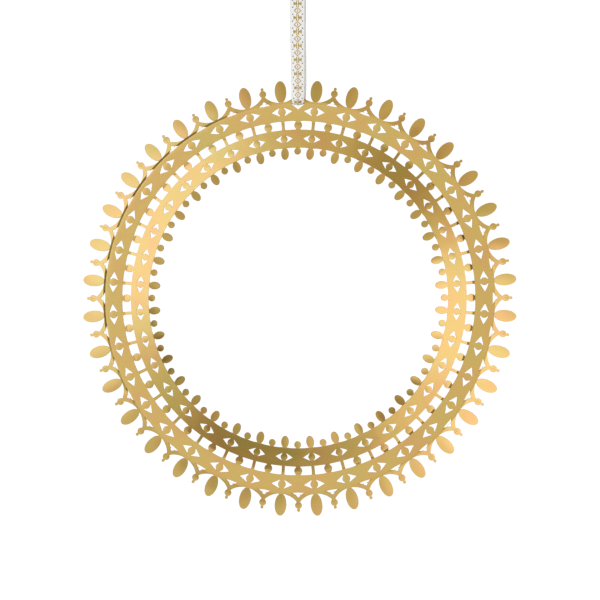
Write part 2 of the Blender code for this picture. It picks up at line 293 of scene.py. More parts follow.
def satin_woven_ribbon(colours):
    """Satin-woven polyester: floating warp threads give a smooth lengthwise sheen, with faint
    lines along the ribbon and painted shade along both edges."""
    made, tree, shader = new_material(
        "satin_woven_polyester", Roughness=0.46, Sheen_Weight=0.25, Sheen_Roughness=0.4,
        Specular_IOR_Level=0.45)
    uv = add_node(tree, "ShaderNodeTexCoord").outputs["UV"]
    parts = add_node(tree, "ShaderNodeSeparateXYZ", Vector=uv)
    # UVs are millimetres. Real warp threads are 0.1 mm apart, too fine to show, so drawn 0.35 mm.
    warp_spacing, weft_spacing = 0.35, 0.5
    warp = add_node(tree, "ShaderNodeMath", {"operation": "MULTIPLY", 1: math.tau / warp_spacing},
                    in_0=parts.outputs["X"])
    warp_wave = add_node(tree, "ShaderNodeMath", {"operation": "SINE"}, in_0=warp.outputs[0])
    # Real weft floats cross at about 0.5 mm.
    weft = add_node(tree, "ShaderNodeMath", {"operation": "MULTIPLY", 1: math.tau / weft_spacing},
                    in_0=parts.outputs["Y"])
    weft_wave = add_node(tree, "ShaderNodeMath", {"operation": "SINE"}, in_0=weft.outputs[0])
    # Uneven yarn, in patches 2.2 mm long.
    slub = add_node(tree, "ShaderNodeTexNoise", {"Scale": 1 / 2.222, "Detail": 2.0}, Vector=uv)
    weave = add_node(tree, "ShaderNodeMath", {"operation": "MULTIPLY_ADD", 1: 0.35},
                     in_0=weft_wave.outputs[0], in_2=warp_wave.outputs[0])
    shade = add_node(tree, "ShaderNodeMath", {"operation": "MULTIPLY_ADD", 1: 0.16},
                     in_0=weave.outputs[0], in_2=slub.outputs["Fac"])
    woven = add_node(tree, "ShaderNodeValToRGB", in_0=shade.outputs[0])
    set_stops(woven, (0.12, colours.satin_shade), (0.62, colours.satin))
    # Painted shade along both edges of the ribbon, half a millimetre wide.
    off_middle = add_node(tree, "ShaderNodeMath", {"operation": "ABSOLUTE"},
                          in_0=parts.outputs["X"])
    edge = add_node(tree, "ShaderNodeMapRange",
                    {"interpolation_type": "SMOOTHSTEP", "From Min": 4.45, "From Max": 4.85},
                    Value=off_middle.outputs[0])
    edge_shaded = add_node(tree, "ShaderNodeMix", {"data_type": "RGBA", 7: (*colours.painted_edge_shade, 1)},
                     in_0=edge.outputs["Result"], in_6=woven.outputs["Color"])
    tree.links.new(edge_shaded.outputs[2], shader.inputs["Base Color"])
    thread = add_node(tree, "ShaderNodeBump", {"Strength": 0.35, "Distance": 0.03 * MM},
                      Height=weave.outputs[0])
    tree.links.new(thread.outputs["Normal"], shader.inputs["Normal"])
    return made


def foil_print(name, light, dark, metallic):
    """Hot-stamped foil print: it glints like metal and wears thin over the threads."""
    made, tree, shader = new_material(name, Metallic=metallic, Roughness=0.38)
    place = add_node(tree, "ShaderNodeTexCoord").outputs["Object"]
    # Wear in patches, with finer specks in them.
    wear = add_node(tree, "ShaderNodeTexNoise",
                    {"Scale": cells(1.11), "Detail": 4.0, "Roughness": 0.65}, Vector=place)
    tone = add_node(tree, "ShaderNodeValToRGB", in_0=wear.outputs["Fac"])
    set_stops(tone, (0.36, dark), (0.60, light))
    tree.links.new(tone.outputs["Color"], shader.inputs["Base Color"])
    rough = add_node(tree, "ShaderNodeBump", {"Strength": 0.4, "Distance": 0.03 * MM},
                     Height=wear.outputs["Fac"])
    tree.links.new(rough.outputs["Normal"], shader.inputs["Normal"])
    return made


def spun_thread(colours):
    """Spun polyester sewing thread: matt, twisted, with a soft fuzz."""
    made, tree, shader = new_material("spun_polyester_thread", Roughness=0.75, Sheen_Weight=0.3)
    place = add_node(tree, "ShaderNodeTexCoord").outputs["Object"]
    # The thread's twist. A wave has 20 radians to a cell.
    twist = add_node(tree, "ShaderNodeTexWave",
                     {"Scale": cells(0.314) * math.tau / 20, "Distortion": 1.5}, Vector=place)
    tone = add_node(tree, "ShaderNodeValToRGB", in_0=twist.outputs["Fac"])
    set_stops(tone, (0.0, [c * 0.8 for c in colours.thread]), (1.0, colours.thread))
    tree.links.new(tone.outputs["Color"], shader.inputs["Base Color"])
    ridge = add_node(tree, "ShaderNodeBump", {"Strength": 0.4, "Distance": 0.04 * MM},
                     Height=twist.outputs["Fac"])
    tree.links.new(ridge.outputs["Normal"], shader.inputs["Normal"])
    return made


def painted_floor(colours):
    """Matt white studio paint with a faint roller texture."""
    made, tree, shader = new_material("matt_studio_paint", Roughness=0.85)
    place = add_node(tree, "ShaderNodeTexCoord").outputs["Object"]
    # Roller stipple.
    stipple = add_node(tree, "ShaderNodeTexNoise", {"Scale": cells(4.0), "Detail": 3.0},
                       Vector=place)
    tone = add_node(tree, "ShaderNodeValToRGB", in_0=stipple.outputs["Fac"])
    set_stops(tone, (0.0, [c * 0.97 for c in colours.floor]), (1.0, colours.floor))
    tree.links.new(tone.outputs["Color"], shader.inputs["Base Color"])
    return made


# ---------------------------------------------------------------- the wreath's blank


CORNER = 0.25 * MM  # chamfer where the inner band meets a bead or an oval
FOOT_CORNER = 0.3 * MM  # from an oval's foot to its scallop
HOLE_SIDE = 0.3 * MM  # straight sides of the hanging hole, over its point
BARB_HOLLOW = 0.1 * MM  # how far an arrowhead's sides are drawn in
BARB_SHARE = 0.72  # of the way to a barb that the arrowhead follows its bead
WINDOW_FILLET = 0.35 * MM
FILL_START = 1.1 * MM  # the first ring of fill points, from the inner band's edge
FILL_STEP = 1.45 * MM
MERGE = 3e-6  # points this close are one
SLIVER = 1e-11  # a triangle under this area is dropped


class Blank:
    """Half a petal of the flat sheet, drawn from its sizes as curves that meet at the folds.

    Points are across and up, in metres, from the ring's centre along the peak's axis."""

    def __init__(self, sizes):
        self.s = sizes
        self.half_pitch = math.pi / sizes.petals
        self.valley = sizes.ring_r - sizes.oval_height
        self.band_in = self.valley - sizes.outer_band
        self.gap_in = self.band_in - sizes.gap
        self.inner = self.gap_in - sizes.inner_band
        self.base = self.valley - sizes.triangle_drop
        self.outer_fold = self.base + sizes.facet_width
        self.inner_fold = self.band_in - sizes.facet_width
        self.bead_r = self.valley + sizes.finial_rise
        neck = Vector((sizes.neck, self.bead_r - sizes.finial_bead))
        axis = Vector((math.sin(self.half_pitch), math.cos(self.half_pitch)))
        along = neck.dot(axis)
        reach = neck.length_squared - 2 * self.valley * along + self.valley**2
        self.scallop_radius = reach / (2 * (along - self.valley))
        self.scallop_centre = axis * (self.valley + self.scallop_radius)
        self.domes = []

    def by_oval(self, across, up):
        """A point given across and along the axis of the oval beside the peak."""
        c, s = math.cos(self.half_pitch), math.sin(self.half_pitch)
        return (across * c + up * s, up * c - across * s)

    def arc(self, centre, radius, first, last, steps, squash=1.0):
        """Points on an arc or half an ellipse, by angles in degrees."""
        turns = [math.radians(first + (last - first) * k / steps) for k in range(steps + 1)]
        return [(centre[0] + radius * math.cos(a), centre[1] + radius * squash * math.sin(a))
                for a in turns]

    def about_scallop(self, radius, start, end, steps):
        """Points on an arc about the scallop's centre between the angles of two points."""
        c = self.scallop_centre
        first = math.atan2(start[1] - c.y, start[0] - c.x)
        last = math.atan2(end[1] - c.y, end[0] - c.x)
        turns = [first + (last - first) * k / steps for k in range(steps + 1)]
        return [(c.x + radius * math.cos(a), c.y + radius * math.sin(a)) for a in turns]

    def height_at(self, across, radius):
        """The height at which an arc about the scallop's centre is this far across."""
        c = self.scallop_centre
        return c.y - math.sqrt(radius**2 - (c.x - across) ** 2)

    def across_at(self, up, radius):
        """How far across an arc about the scallop's centre is at this height."""
        c = self.scallop_centre
        return c.x - math.sqrt(radius**2 - (c.y - up) ** 2)

    def inner_edge(self):
        """From the inner bead's lowest point to the inner oval's lowest point."""
        s = self.s
        bead = self.inner - s.inner_bead_reach + s.inner_bead
        lean = math.degrees(math.acos(s.inner_bead_neck / s.inner_bead))
        points = self.arc((0.0, bead), s.inner_bead, -90, lean, 18)
        points.append((s.inner_bead_neck, self.inner - CORNER))
        points.append((s.inner_bead_neck + CORNER, self.inner))
        edge = self.by_oval(-s.inner_oval_foot - CORNER, self.inner)
        steps = 5
        x0, x1 = points[-1][0], edge[0]
        for k in range(1, steps):
            x = x0 + (x1 - x0) * k / steps
            points.append((x, math.sqrt(self.inner**2 - x * x)))
        points.append(edge)
        half = s.inner_oval_length / 2
        centre = self.inner - half
        top = 90 + math.degrees(math.asin(s.inner_oval_foot / s.inner_oval_half))
        for k in range(17):
            a = math.radians(top + (270 - top) * k / 16)
            across, up = s.inner_oval_half * math.cos(a), centre + half * math.sin(a)
            points.append(self.by_oval(across, up))
        self.domes.append((self.by_oval(0.0, centre), s.inner_oval_half, half, s.oval_crown))
        self.domes.append(((0.0, bead), s.inner_bead, s.inner_bead, s.bead_crown))
        return points

    def outer_oval(self):
        """From the outer oval's tip down its near side to its foot on the scallop."""
        s = self.s
        centre = s.ring_r - s.oval_belly
        back = s.oval_height - s.oval_belly
        foot_turn = 270 - math.degrees(math.asin(s.oval_foot / s.oval_half))
        points = []
        for k in range(25):
            a = math.radians(90 + (foot_turn - 90) * k / 24)
            reach = s.oval_belly if math.sin(a) > 0 else back
            points.append(self.by_oval(s.oval_half * math.cos(a), centre + reach * math.sin(a)))
        self.domes.append((self.by_oval(0.0, centre), s.oval_half, s.oval_belly, s.oval_crown))
        return points

    def scallop_foot(self):
        """Where the scallop meets the oval's foot."""
        s = self.s
        drop = math.sqrt(self.scallop_radius**2 - s.oval_foot**2)
        return self.by_oval(-s.oval_foot - FOOT_CORNER, self.scallop_centre.length - drop)

    def finial(self):
        """From the scallop up the finial, and from its tip to the triangle's base."""
        s = self.s
        neck = (s.neck, self.bead_r - s.finial_bead)
        run = self.about_scallop(self.scallop_radius, self.scallop_foot(), neck, 14)[:-1]
        low = -math.degrees(math.acos(s.neck / s.finial_bead))
        high = math.degrees(math.acos(s.finial_stem / s.finial_bead))
        bead = self.arc((0.0, self.bead_r), s.finial_bead, low, high, 16)
        ball_low = -math.degrees(math.acos(s.finial_stem / s.finial_ball))
        ball = self.arc((0.0, self.bead_r + s.ball_rise), s.finial_ball, ball_low, 90, 10)
        side = self.scallop_radius + s.strip
        apex = (0.0, self.height_at(0.0, side))
        corner = (self.across_at(self.base, side), self.base)
        hole = self.about_scallop(side, apex, corner, 9)
        hole[0], hole[-1] = apex, corner
        self.domes.append(((0.0, self.bead_r), s.finial_bead, s.finial_bead, s.bead_crown))
        return run + bead + ball + hole + [(0.0, self.base)]

    def crest(self):
        """From the scallop over the low crest, and round the hanging hole."""
        s = self.s
        top = self.valley + s.crest_rise
        end = (self.across_at(top, self.scallop_radius), top)
        run = self.about_scallop(self.scallop_radius, self.scallop_foot(), end, 10)[:-1]
        hole = [(s.hole_half, self.base), (s.hole_half, self.base - HOLE_SIDE),
                (0.0, self.base - s.hole_depth)]
        return run + [end, (0.0, top), (0.0, self.base)] + hole

    def bead_reach(self, barb_up, barb_in):
        """How far from level, in degrees, the arrowhead's inner side follows its bead."""
        return BARB_SHARE * math.degrees(math.atan2(barb_up, barb_in))

    def arrowhead(self, up, half, barb_up, barb_in, bead):
        """The near half of a pierced diamond, its inner side following the bead."""
        reach = self.bead_reach(barb_up, barb_in)
        side = -(half + barb_in) / 2 - BARB_HOLLOW
        points = [(-half, 0.0), (side, -barb_up / 2), (-barb_in, -barb_up)]
        points += self.arc((0.0, 0.0), bead, 180 + reach, 180 - reach, 10)
        points += [(-barb_in, barb_up), (side, barb_up / 2)]
        return [self.by_oval(x, up + y) for x, y in points]

    def bead_rims(self, up, barb_up, barb_in, bead):
        """The rest of the bead's rim, from the arrowhead to the axis above and below."""
        reach = self.bead_reach(barb_up, barb_in)
        runs = [self.arc((0.0, 0.0), bead, 180 - reach, 90, 5),
                self.arc((0.0, 0.0), bead, 180 + reach, 270, 5)]
        return [[self.by_oval(x, up + y) for x, y in run] for run in runs]

    def window(self):
        """The opening between the bands, with the bead's side and the bar's filleted ends."""
        s = self.s
        middle = (self.band_in + self.gap_in) / 2
        fillet = WINDOW_FILLET
        turn = math.degrees(math.acos(s.gap_bead_neck / s.gap_bead))
        bead = self.arc((0.0, middle), s.gap_bead, turn, -turn, 16)
        points = [(s.gap_bead_neck + fillet, self.band_in),
                  (s.gap_bead_neck, self.band_in - fillet), *bead]
        points += [(s.gap_bead_neck, self.gap_in + fillet), (s.gap_bead_neck + fillet, self.gap_in)]
        low = self.by_oval(-s.bar_half - fillet, self.gap_in)
        points += self.ring_run(points[-1], low, self.gap_in)
        points += [low, self.by_oval(-s.bar_half, self.gap_in + fillet)]
        points.append(self.by_oval(-s.bar_half, self.inner_fold))
        points.append(self.by_oval(-s.bar_half, self.band_in - fillet))
        high = self.by_oval(-s.bar_half - fillet, self.band_in)
        points.append(high)
        points += self.ring_run(high, points[0], self.band_in)
        self.domes.append(((0.0, middle), s.gap_bead, s.gap_bead, s.bead_crown))
        return points

    def ring_run(self, start, end, radius, steps=5):
        """Points between two places on a circle about the ring's centre, both ends left out."""
        first, last = math.atan2(start[0], start[1]), math.atan2(end[0], end[1])
        turns = [first + (last - first) * k / steps for k in range(1, steps)]
        return [(radius * math.sin(a), radius * math.cos(a)) for a in turns]

    def axis_run(self, radii, spacing=1.5 * MM):
        """Heights on a straight axis from one end to the other through each of the radii."""
        ups = []
        for low, high in zip(radii, radii[1:]):
            steps = max(1, round(abs(high - low) / spacing))
            ups += [low + (high - low) * k / steps for k in range(steps)]
        return ups + [radii[-1]]

    def half_petal(self, peak):
        """Points and triangles of half a petal, with the folds and the beads' rims as edges."""
        self.domes = []
        s = self.s
        outline = self.inner_edge()
        bar = (self.inner, self.gap_in, self.inner_fold, self.band_in, self.base, self.outer_fold)
        low = self.inner - s.inner_oval_length
        ups = self.axis_run((low, *bar, s.ring_r))
        outline += [self.by_oval(0.0, up) for up in ups[1:-1]]
        outline += self.outer_oval()
        outline += peak()
        bead_low = self.inner - s.inner_bead_reach
        down = (self.base, self.band_in, self.inner_fold, self.gap_in, self.inner, bead_low)
        if outline[-1][0] > 0 or outline[-1][1] < self.base:
            down = (self.base - s.hole_depth, *down[1:])
        outline += [(0.0, up) for up in self.axis_run(down)[1:-1]]
        outer_up = (self.valley + self.band_in) / 2
        inner_up = (self.gap_in + self.inner) / 2
        outer = (s.outer_barb, s.outer_barb_in, s.outer_disc)
        inner = (s.inner_barb, s.inner_barb_in, s.inner_disc)
        loops = [outline, self.arrowhead(outer_up, s.outer_arrow, *outer),
                 self.arrowhead(inner_up, s.inner_arrow, *inner), self.window()]
        for up, radius in ((outer_up, s.outer_disc), (inner_up, s.inner_disc)):
            self.domes.append((self.by_oval(0.0, up), radius, radius, s.bead_crown))
        points, edges = [], []
        for loop in loops:
            first = len(points)
            points += [Vector(p) for p in loop]
            edges += [(first + k, first + (k + 1) % len(loop)) for k in range(len(loop))]
        runs = self.bead_rims(outer_up, *outer) + self.bead_rims(inner_up, *inner)
        runs += [self.fold_run(r) for r in (self.inner, self.gap_in, self.inner_fold,
                                            self.band_in, self.base, self.outer_fold)]
        for run in runs:
            first = len(points)
            points += [Vector(p) for p in run]
            edges += [(first + k, first + k + 1) for k in range(len(run) - 1)]
        points += self.fill_points()
        places, _, faces, *_ = delaunay_2d_cdt(points, edges, [], 0, 2e-6)
        kept = [f for f in faces if self.on_blank([places[i] for i in f], loops)]
        return places, kept

    def fold_run(self, radius, steps=8):
        """A fold's arc across half a petal; parts of it over an opening are dropped later."""
        turns = [self.half_pitch * k / steps for k in range(steps + 1)]
        return [(radius * math.sin(a), radius * math.cos(a)) for a in turns]

    def fill_points(self):
        """Points inside the sheet, close together on beads and ovals, so it curves smoothly."""
        points = []
        for (x, up), across, along, _ in self.domes:
            axis = Vector((x, up)).normalized()
            side = Vector((axis.y, -axis.x))
            for share in (0.25, 0.5, 0.75, 0.92):
                count = max(8, round(20 * share))
                for k in range(count):
                    a = 2 * math.pi * (k + 0.5) / count
                    p = Vector((x, up)) + side * (across * share * math.cos(a))
                    p += axis * (along * share * math.sin(a))
                    if p.x > 0.15 * MM and math.atan2(p.x, p.y) < self.half_pitch - 0.001:
                        points.append(p)
        radius = self.inner + FILL_START
        while radius < self.base:
            for k in range(1, 8):
                a = self.half_pitch * (k - 0.5) / 7.5
                points.append(Vector((radius * math.sin(a), radius * math.cos(a))))
            radius += FILL_STEP
        return points

    def on_blank(self, corners, loops):
        """Whether a triangle is in the outline and outside every opening."""
        if area_tri(*corners) < SLIVER:
            return False
        middle = sum(corners, Vector((0.0, 0.0))) / len(corners)
        crossings = 0
        for loop in loops:
            for (x0, y0), (x1, y1) in zip(loop, loop[1:] + loop[:1]):
                if (y0 > middle.y) != (y1 > middle.y):
                    crossings += middle.x < x0 + (middle.y - y0) * (x1 - x0) / (y1 - y0)
        return crossings % 2 == 1

    def dome(self, x, up):
        """How far a bead or an oval is pressed forward at a point of the half petal."""
        rise = 0.0
        for (cx, cy), across, along, crown in self.domes:
            axis = Vector((cx, cy)).normalized()
            d = Vector((x - cx, up - cy))
            u, v = d.dot(Vector((axis.y, -axis.x))) / across, d.dot(axis) / along
            rise = max(rise, crown * (1 - u * u - v * v))
        return rise

    def forward(self, r):
        """How far the folded sheet stands in front of the outer band at a radius."""
        s = self.s
        off_band = max(r - self.base, self.band_in - r, 0.0)
        drop = min(off_band / s.facet_width, 1.0) * s.facet_drop
        petal = max(r - self.outer_fold, 0.0) * math.tan(s.petal_lean)
        band = max(self.inner_fold - max(r, self.inner), 0.0) * math.tan(s.inner_lean)
        inner_petal = max(self.inner - r, 0.0) * math.tan(s.inner_petal_lean)
        return band + inner_petal - petal - drop


class WREATH_OT_plate(bpy.types.Operator):
    """Builds the folded, pierced brass wreath."""

    bl_idname = "wreath.plate"
    bl_label = "Brass wreath"

    def execute(self, context):
        sizes, colours = settings()
        low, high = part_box("wreath_plate")
        centre_z = (low.z + high.z) / 2
        blank = Blank(sizes)
        plain = blank.half_petal(blank.finial)
        plain_rise = [blank.dome(p.x, p.y) for p in plain[0]]
        hanging = blank.half_petal(blank.crest)
        hanging_rise = [blank.dome(p.x, p.y) for p in hanging[0]]
        points, faces = [], []
        for k in range(sizes.petals):
            turn = 2 * blank.half_pitch * k
            c, s = math.cos(turn), math.sin(turn)
            (places, tris), rises = (plain, plain_rise) if k else (hanging, hanging_rise)
            for side in (1, -1):
                first = len(points)
                for p, rise in zip(places, rises):
                    x, z = side * p.x, p.y
                    out = -blank.forward(math.hypot(x, z)) - rise
                    points.append((x * c + z * s, out, z * c - x * s + centre_z))
                faces += [[first + i for i in tri[::side]] for tri in tris]
        mesh = mesh_from("wreath", points, faces)
        sheet = bmesh.new()
        sheet.from_mesh(mesh)
        bmesh.ops.remove_doubles(sheet, verts=sheet.verts[:], dist=MERGE)
        loose = [v for v in sheet.verts if not v.link_faces]
        bmesh.ops.delete(sheet, geom=loose, context="VERTS")
        bmesh.ops.recalc_face_normals(sheet, faces=sheet.faces[:])
        if sum(f.normal.y for f in sheet.faces) > 0:
            bmesh.ops.reverse_faces(sheet, faces=sheet.faces[:])
        sheet.to_mesh(mesh)
        sheet.free()
        piece = new_piece("etched_wreath", mesh, "wreath")
        mesh.materials.append(gold_plated_etched_brass("gold_plated_etched_brass", colours, 0.17))
        # The sheet's sides are etched and darkened as painted shade.
        mesh.materials.append(etched_brass_edge_and_shade(colours))
        shell = piece.modifiers.new("thickness", "SOLIDIFY")
        shell.thickness = sizes.sheet
        shell.offset = 0.0
        shell.material_offset_rim = 1
        edge = piece.modifiers.new("etched_edge", "BEVEL")
        edge.width = sizes.edge
        edge.segments = 1
        edge.limit_method = "ANGLE"
        edge.angle_limit = math.radians(60)
        edge.use_clamp_overlap = False
        bake_modifiers(piece)
        piece.data.shade_smooth()
        piece.data.set_sharp_from_angle(angle=math.radians(8.5))
        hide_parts("wreath_plate")
        return {"FINISHED"}


def bake_modifiers(piece):
    """Makes a piece's mesh what its modifiers show, and removes them."""
    shown = piece.evaluated_get(bpy.context.evaluated_depsgraph_get())
    final = bpy.data.meshes.new_from_object(shown)
    piece.modifiers.clear()
    old = piece.data
    piece.data = final
    bpy.data.meshes.remove(old)


# ---------------------------------------------------------------- the ribbon loop


# The ribbon's route, as the solid ribbon has it.
ROUTE_SHEET = 0.4 * MM  # its thickness there
ROUTE_STEP = 0.8 * MM  # between points along a straight leg
LAP_START = 6.5 * MM  # from the crown's foot down to the lap
LAP_LENGTH = 12.0 * MM
LAP_STEP = 0.62 * MM  # how far the outer end stands off the inner one
LAP_LEAD = 2.0 * MM  # the outer end starts to rise this far under the lap
LAP_RISE = 1.6 * MM  # and takes this far to rise

# How it lies through the hanging hole, all measured up from its lowest point.
TIGHT = 0.45 * MM  # flat and narrow this far up
ROUND_OUT = 1.7 * MM  # then it widens to the legs over this far
GATHER_REACH = 26 * MM  # the legs stay gathered this far up
GATHER_BOW = 0.26 * MM  # more bow where it is gathered
GATHER_RIPPLE = 0.07 * MM
RIPPLES = 7.0  # radians of ripple from the middle to an edge
BACK_SWAY = 0.30 * MM  # the back leg wanders sideways
BACK_WAVE = 14 * MM
BACK_RISE = 10 * MM  # and takes this far to do so fully
FRONT_LEAN = 0.45  # of its narrowing that the front leg leans right
FRONT_RISE = 4 * MM


class Loop:
    """The ribbon's middle line, from its inner lapped end over the hook and round the wreath.

    Its points are y and z, in metres."""

    def __init__(self, sizes):
        s = self.s = sizes
        self.hook_r = (s.hook + ROUTE_SHEET) / 2
        self.hook_z = -s.hook / 2
        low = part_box("ribbon_bight")[0]
        self.bight_r = -low.y - ROUTE_SHEET / 2
        self.bight_z = low.z + ROUTE_SHEET / 2 + self.bight_r
        self.lowest = low.z
        self.lap_top = self.hook_z - LAP_START
        self.lap_end = self.lap_top - LAP_LENGTH
        self.points = self.route()
        steps = [math.dist(a, b) for a, b in zip(self.points, self.points[1:])]
        self.along = [0.0]
        for step in steps:
            self.along.append(self.along[-1] + step)
        self.length = self.along[-1]
        front = [k for k, (y, z) in enumerate(self.points) if y < 0 and z < s.cross_height]
        self.cross_at = self.along[front[0]]

    def leg_y(self, z):
        """How far a leg is from the loop's middle plane at a height."""
        share = (z - self.bight_z) / (self.hook_z - self.bight_z)
        return self.bight_r + (self.hook_r - self.bight_r) * share

    def route(self):
        """Points (y, z) close together along the whole ribbon."""
        corners = []
        z = self.lap_end
        while z < self.hook_z:
            corners.append((self.leg_y(z), z))
            z += ROUTE_STEP
        for k in range(17):
            a = math.pi * k / 16
            corners.append((self.hook_r * math.cos(a), self.hook_z + self.hook_r * math.sin(a)))
        z = self.hook_z - ROUTE_STEP
        while z > self.bight_z:
            corners.append((-self.leg_y(z), z))
            z -= ROUTE_STEP
        for k in range(21):
            a = math.pi * (1 + k / 20)
            corners.append((self.bight_r * math.cos(a), self.bight_z + self.bight_r * math.sin(a)))
        z = self.bight_z + ROUTE_STEP
        while z < self.lap_top:
            # The outer end rides over the inner one with a soft step.
            rise = min(max((z - self.lap_end + LAP_LEAD) / LAP_RISE, 0.0), 1.0)
            step = LAP_STEP * rise * rise * (3 - 2 * rise)
            corners.append((self.leg_y(z) + step, z))
            z += ROUTE_STEP
        return corners

    def at(self, distance):
        """The place and the outward direction at a distance along the ribbon."""
        d = min(max(distance, 0.0), self.length - 1e-9)
        k = max(i for i, a in enumerate(self.along[:-1]) if a <= d)
        share = (d - self.along[k]) / (self.along[k + 1] - self.along[k])
        a, b = Vector(self.points[k]), Vector(self.points[k + 1])
        place = a.lerp(b, share)
        before, after = max(k - 1, 0), min(k + 2, len(self.points) - 1)
        near = (Vector(self.points[k + 1]) - Vector(self.points[before])).normalized()
        far = (Vector(self.points[after]) - Vector(self.points[k])).normalized()
        way = near.lerp(far, share).normalized()
        return place, Vector((way.y, -way.x))

    def half_width(self, place):
        """Half the ribbon's width: gathered where it passes through the hanging hole."""
        s = self.s
        y, z = place
        up = z - self.lowest
        full = s.ribbon / 2
        reach = s.gather_front if y < 0 else s.gather_back
        open_up = min(up / reach, 1.0)
        loose = s.gathered + (full - s.gathered) * (open_up if y < 0 else open_up**0.5)
        round_in = min(max((up - TIGHT) / ROUND_OUT, 0.0), 1.0)
        return s.bight_half + (loose - s.bight_half) * math.sqrt(1 - (1 - round_in) ** 2)

    def cup(self, place, share):
        """How far a point across the ribbon bows outward, more where it is gathered."""
        up = place[1] - self.lowest
        gather = min(max(1 - up / GATHER_REACH, 0.0), 1.0)
        bow = self.s.bow + GATHER_BOW * gather * gather
        ripple = GATHER_RIPPLE * gather * math.cos(share * RIPPLES)
        return bow * (1 - share * share) + ripple

    def surface(self, distance, share, lift):
        """A point on the ribbon: along it, across it from -1 to 1, and off its middle."""
        place, out = self.at(distance)
        half = self.half_width(place)
        up = place[1] - self.lowest
        if place[0] > 0:
            lean = BACK_SWAY * math.sin(up / BACK_WAVE) * min(up / BACK_RISE, 1.0)
            lean *= min(max((self.lap_end - place[1]) / LAP_LENGTH, 0.0), 1.0)
        else:
            # The gather pulls the front leg's left edge in more than its right.
            lean = (self.s.ribbon / 2 - half) * FRONT_LEAN * min(up / FRONT_RISE, 1.0)
        p = place + out * (self.cup(place, share) - self.s.bow / 2 + lift)
        return Vector((share * half + lean, p.x, p.y))


def ribbon_mesh(loop, sizes):
    """The ribbon as a closed thin strip with rounded woven edges, UVs in millimetres."""
    # Places across one edge and the thickness there, as shares of half the ribbon.
    edge, edge_thick = [1.0, 0.985, 0.94], [0.25, 0.8, 1.0]
    across = [-c for c in edge] + [k / 5 for k in range(-4, 5)] + edge[::-1]
    thick = edge_thick + [0.92] * 9 + edge_thick[::-1]
    half_sheet = sizes.ribbon_sheet / 2
    count = round(loop.length / ROUTE_STEP)
    rows = []
    for k in range(count + 1):
        d = loop.length * k / count
        outside = [loop.surface(d, c, half_sheet * t) for c, t in zip(across, thick)]
        inside = [loop.surface(d, c, -half_sheet * t) for c, t in zip(across, thick)]
        rows.append((d, outside + inside[::-1]))
    size = len(rows[0][1])
    points = [p for _, row in rows for p in row]
    faces, uvs = [], []
    shares = across + across[::-1]
    wide = sizes.ribbon / 2 / MM
    for k in range(count):
        d0, d1 = rows[k][0] / MM, rows[k + 1][0] / MM
        for j in range(size):
            n = (j + 1) % size
            faces.append([k * size + j, k * size + n, (k + 1) * size + n, (k + 1) * size + j])
            x0, x1 = shares[j] * wide, shares[n] * wide
            uvs += [(x0, d0), (x1, d0), (x1, d1), (x0, d1)]
    for first, order in ((0, -1), (count * size, 1)):
        loop_ends = [first + j for j in range(size)][::order]
        faces.append(loop_ends)
        uvs += [(shares[i - first] * wide, rows[0][0]) for i in loop_ends]
    mesh = mesh_from("ribbon", points, faces)
    layer = mesh.uv_layers.new(name="millimetres")
    for item, uv in zip(layer.data, uvs):
        item.uv = uv
    return mesh


def blend_down(piece):
    """Bakes the piece's placement into its mesh."""
    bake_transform(piece)


class WREATH_OT_ribbon(bpy.types.Operator):
    """Builds the satin ribbon loop, its print and its bar tacks."""

    bl_idname = "wreath.ribbon"
    bl_label = "Printed ribbon loop"

    def execute(self, context):
        sizes, colours = settings()
        loop = Loop(sizes)
        mesh = ribbon_mesh(loop, sizes)
        mesh.materials.append(satin_woven_ribbon(colours))
        ribbon = new_piece("satin_ribbon", mesh)
        fix_normals(ribbon.data)
        ribbon.data.shade_smooth()
        ribbon.data.set_sharp_from_angle(angle=math.radians(50))
        blend_down(ribbon)
        printed = self.prints(loop, sizes, colours)
        tacks = self.tacks(loop, sizes, colours)
        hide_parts("ribbon_front_and_crown", "ribbon_back_leg", "ribbon_bight")
        return {"FINISHED"}

    def prints(self, loop, sizes, colours):
        """The foil crosses and rhombi and the small dots, on the ribbon's outer face."""
        crosses = PrintSheet(loop, sizes)
        dots = PrintSheet(loop, sizes)
        repeat, margin = sizes.repeat, PRINT_MARGIN
        first = (loop.cross_at - margin) % repeat + margin
        count = int((loop.length - margin - first) / repeat) + 1
        for k in range(count):
            d = first + repeat * k
            crosses.cross(d)
            if d + repeat / 2 < loop.length - margin:
                crosses.rhombus(d + repeat / 2)
            for quarter in (-0.25, 0.25):
                for side in (-1, 1):
                    dots.ellipse(side * DOT_PLACE, d + repeat * quarter, *DOT)
        foil = foil_print("hot_stamped_gold_foil", colours.foil, colours.foil_dark, 0.45)
        grey = foil_print("thin_stamped_foil", colours.dot, colours.dot_dark, 0.2)
        made = []
        for name, sheet, kind in (("foil_print", crosses, foil), ("dot_print", dots, grey)):
            mesh = mesh_from(name, sheet.points, sheet.faces)
            mesh.materials.append(kind)
            piece = new_piece(name, mesh)
            piece.data.shade_smooth()
            blend_down(piece)
            made.append(piece)
        return made

    def tacks(self, loop, sizes, colours):
        """Each bar tack as a close row of stitches across the lap."""
        kind = spun_thread(colours)
        made = []
        for node in ("lap_tack_upper", "lap_tack_lower"):
            low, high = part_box(node)
            points, faces = [], []
            first, last = low.x + STITCH_INSET, high.x - STITCH_INSET
            for k in range(STITCHES):
                x = first + (last - first) * k / (STITCHES - 1)
                slant = STITCH_SLANT * (-1) ** k
                a = Vector((x - slant, 0, low.z + STITCH_END))
                b = Vector((x + slant, 0, high.z - STITCH_END))
                stitch_tube(points, faces, a, b, low.y, high.y)
            mesh = mesh_from(node + "_thread", points, faces)
            mesh.materials.append(kind)
            piece = new_piece(node + "_thread", mesh, "hanger")
            piece.data.shade_smooth()
            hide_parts(node)
            made.append(piece)
        return made


